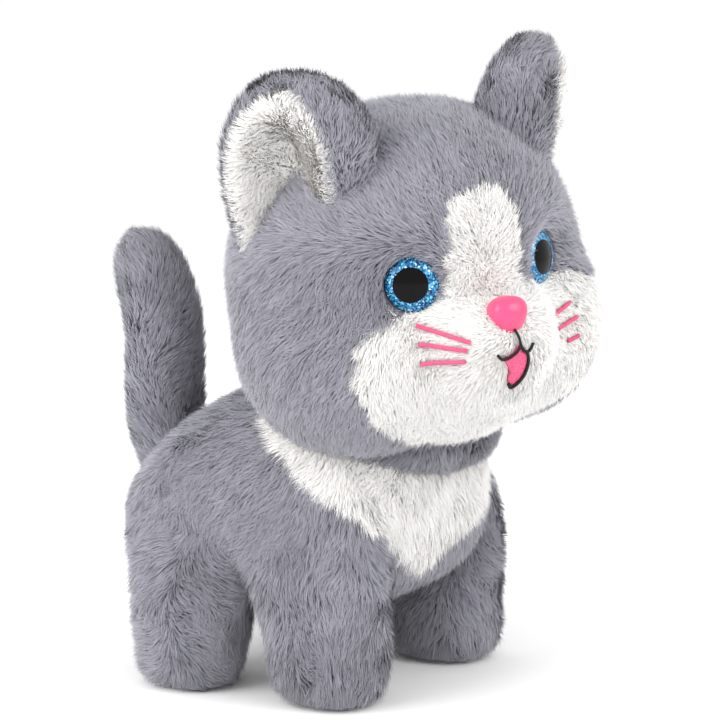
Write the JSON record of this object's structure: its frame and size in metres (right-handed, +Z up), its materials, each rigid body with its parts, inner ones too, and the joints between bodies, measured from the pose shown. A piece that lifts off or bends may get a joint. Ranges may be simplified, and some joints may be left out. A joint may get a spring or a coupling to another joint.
{
  "type": "interactive plush pet",
  "caption": "Battery-driven walking plush kitten with swinging legs, a turning and nodding head, a wagging upright tail and a hinged battery door under the belly.",
  "frame": {"origin": "centre of the base of the whole toy's box, on the surface it stands on", "axes": "+Z up, -Y the way the body faces, +X the toy's left side"},
  "size_m": [0.1298, 0.1787, 0.2258],
  "materials": {
    "grey_plush": "matte",
    "white_plush": "matte",
    "lining_plush": "matte",
    "eye_blue": "polished",
    "nose_pink": "satin",
    "abs_white": "satin",
    "abs_black": "satin",
    "pom_natural": "satin",
    "core_pp": "matte",
    "sole_rubber": "matte",
    "steel": "satin",
    "motor_can": "satin",
    "cell_wrap": "gloss",
    "circuit_board": "satin"
  },
  "bodies": {
    "torso": {"torso_plush": "grey_plush", "bib_patch": "white_plush", "chassis_left": "abs_white", "chassis_right": "abs_white", "gear_plate": "abs_white", "motor": "motor_can", "sound_board": "circuit_board", "speaker": "abs_black", "battery_right": "cell_wrap", "battery_left": "cell_wrap", "contact_spring_right": "steel", "contact_spring_left": "steel", "contact_bridge": "steel", "hip_screw_front_right": "steel", "hip_screw_front_left": "steel", "hip_screw_rear_right": "steel", "hip_screw_rear_left": "steel", "neck_post": "abs_white", "tail_pin": "steel"},
    "leg_front_right": {"leg_front_right_plush": "grey_plush", "leg_front_right_lever": "abs_black", "leg_front_right_sole": "sole_rubber"},
    "leg_rear_right": {"leg_rear_right_plush": "grey_plush", "leg_rear_right_lever": "abs_black", "leg_rear_right_sole": "sole_rubber"},
    "leg_front_left": {"leg_front_left_plush": "grey_plush", "leg_front_left_lever": "abs_black", "leg_front_left_sole": "sole_rubber"},
    "leg_rear_left": {"leg_rear_left_plush": "grey_plush", "leg_rear_left_lever": "abs_black", "leg_rear_left_sole": "sole_rubber"},
    "side_rod_right": {"side_rod_right": "abs_white"},
    "side_rod_left": {"side_rod_left": "abs_white"},
    "crank": {"crank_gear": "pom_natural", "crank_disc_right": "abs_black", "crank_disc_left": "abs_black"},
    "idler_2": {"idler_gear_2": "pom_natural"},
    "idler_1": {"idler_gear_1": "pom_natural"},
    "pinion": {"motor_pinion": "pom_natural"},
    "neck": {"neck_yoke": "abs_white"},
    "head": {"head_plush": "grey_plush", "face_patch": "white_plush", "head_core": "core_pp", "ear_right": "grey_plush", "ear_left": "grey_plush", "ear_lining_right": "lining_plush", "ear_lining_left": "lining_plush", "eye_right": "eye_blue", "eye_left": "eye_blue", "eye_washer_right": "pom_natural", "eye_washer_left": "pom_natural", "nose": "nose_pink", "nose_washer": "pom_natural"},
    "tail": {"tail_plush": "grey_plush", "tail_arm": "abs_white"},
    "battery_door": {"battery_door": "abs_white", "door_screw": "steel"},
    "power_switch": {"power_switch": "abs_black"},
    "back_button": {"back_button": "abs_black"}
  },
  "joints": [
    {"name": "leg_front_right_swing", "type": "hinge", "parent": "torso", "child": "leg_front_right", "pos_m": [-0.021, -0.023, 0.06], "axis": [1, 0, 0], "range_deg": [-17, 7]},
    {"name": "leg_rear_right_swing", "type": "hinge", "parent": "torso", "child": "leg_rear_right", "pos_m": [-0.021, 0.0285, 0.06], "axis": [1, 0, 0], "range_deg": [-17, 7]},
    {"name": "leg_front_left_swing", "type": "hinge", "parent": "torso", "child": "leg_front_left", "pos_m": [0.0366, -0.023, 0.06], "axis": [1, 0, 0], "range_deg": [-7, 17]},
    {"name": "leg_rear_left_swing", "type": "hinge", "parent": "torso", "child": "leg_rear_left", "pos_m": [0.0366, 0.0285, 0.06], "axis": [1, 0, 0], "range_deg": [-7, 17]},
    {"name": "side_rod_right_pivot", "type": "hinge", "parent": "leg_front_right", "child": "side_rod_right", "pos_m": [-0.0159, -0.02405, 0.07195], "axis": [1, 0, 0], "range_deg": [-7, 17]},
    {"name": "side_rod_left_pivot", "type": "hinge", "parent": "leg_front_left", "child": "side_rod_left", "pos_m": [0.0315, -0.02195, 0.07195], "axis": [1, 0, 0], "range_deg": [-17, 7]},
    {"name": "crank_spin", "type": "hinge", "parent": "torso", "child": "crank", "pos_m": [0.0078, -0.0073, 0.068], "axis": [1, 0, 0], "continuous": true},
    {"name": "idler_2_spin", "type": "hinge", "parent": "torso", "child": "idler_2", "pos_m": [0.0188, 0.006, 0.068], "axis": [1, 0, 0], "continuous": true},
    {"name": "idler_1_spin", "type": "hinge", "parent": "torso", "child": "idler_1", "pos_m": [0.0188, 0.0181, 0.068], "axis": [1, 0, 0], "continuous": true},
    {"name": "pinion_spin", "type": "hinge", "parent": "torso", "child": "pinion", "pos_m": [0.0229, 0.0302, 0.068], "axis": [1, 0, 0], "continuous": true},
    {"name": "head_turn", "type": "hinge", "parent": "torso", "child": "neck", "pos_m": [0.0078, -0.0205, 0.098], "axis": [0, 0, 1], "range_deg": [-5, 60]},
    {"name": "head_nod", "type": "hinge", "parent": "neck", "child": "head", "pos_m": [0.0078, -0.0205, 0.112], "axis": [0.866, -0.5, 0], "range_deg": [-8, 4]},
    {"name": "tail_wag", "type": "hinge", "parent": "torso", "child": "tail", "pos_m": [0.0078, 0.046, 0.065], "axis": [0, 1, 0], "range_deg": [-12, 12]},
    {"name": "battery_door_hinge", "type": "hinge", "parent": "torso", "child": "battery_door", "pos_m": [0.0078, 0.0331, 0.0343], "axis": [1, 0, 0], "range_deg": [0, 20]},
    {"name": "power_switch_slide", "type": "slide", "parent": "torso", "child": "power_switch", "axis": [1, 0, 0], "range_m": [0, 0.0038]},
    {"name": "back_button_press", "type": "slide", "parent": "torso", "child": "back_button", "axis": [0, 0, -1], "range_m": [0, 0.0018], "stiffness_N_per_m": 100, "springref_m": -0.003}
  ],
  "couplings": [
    {"joint": "leg_rear_right_swing", "follows": "leg_front_right_swing", "ratio": 1},
    {"joint": "leg_front_left_swing", "follows": "leg_front_right_swing", "ratio": -1},
    {"joint": "leg_rear_left_swing", "follows": "leg_front_right_swing", "ratio": -1},
    {"joint": "side_rod_right_pivot", "follows": "leg_front_right_swing", "ratio": -1},
    {"joint": "side_rod_left_pivot", "follows": "leg_front_right_swing", "ratio": 1},
    {"joint": "idler_2_spin", "follows": "crank_spin", "ratio": -3.4},
    {"joint": "idler_1_spin", "follows": "crank_spin", "ratio": 10.2},
    {"joint": "pinion_spin", "follows": "crank_spin", "ratio": -30.6}
  ]
}
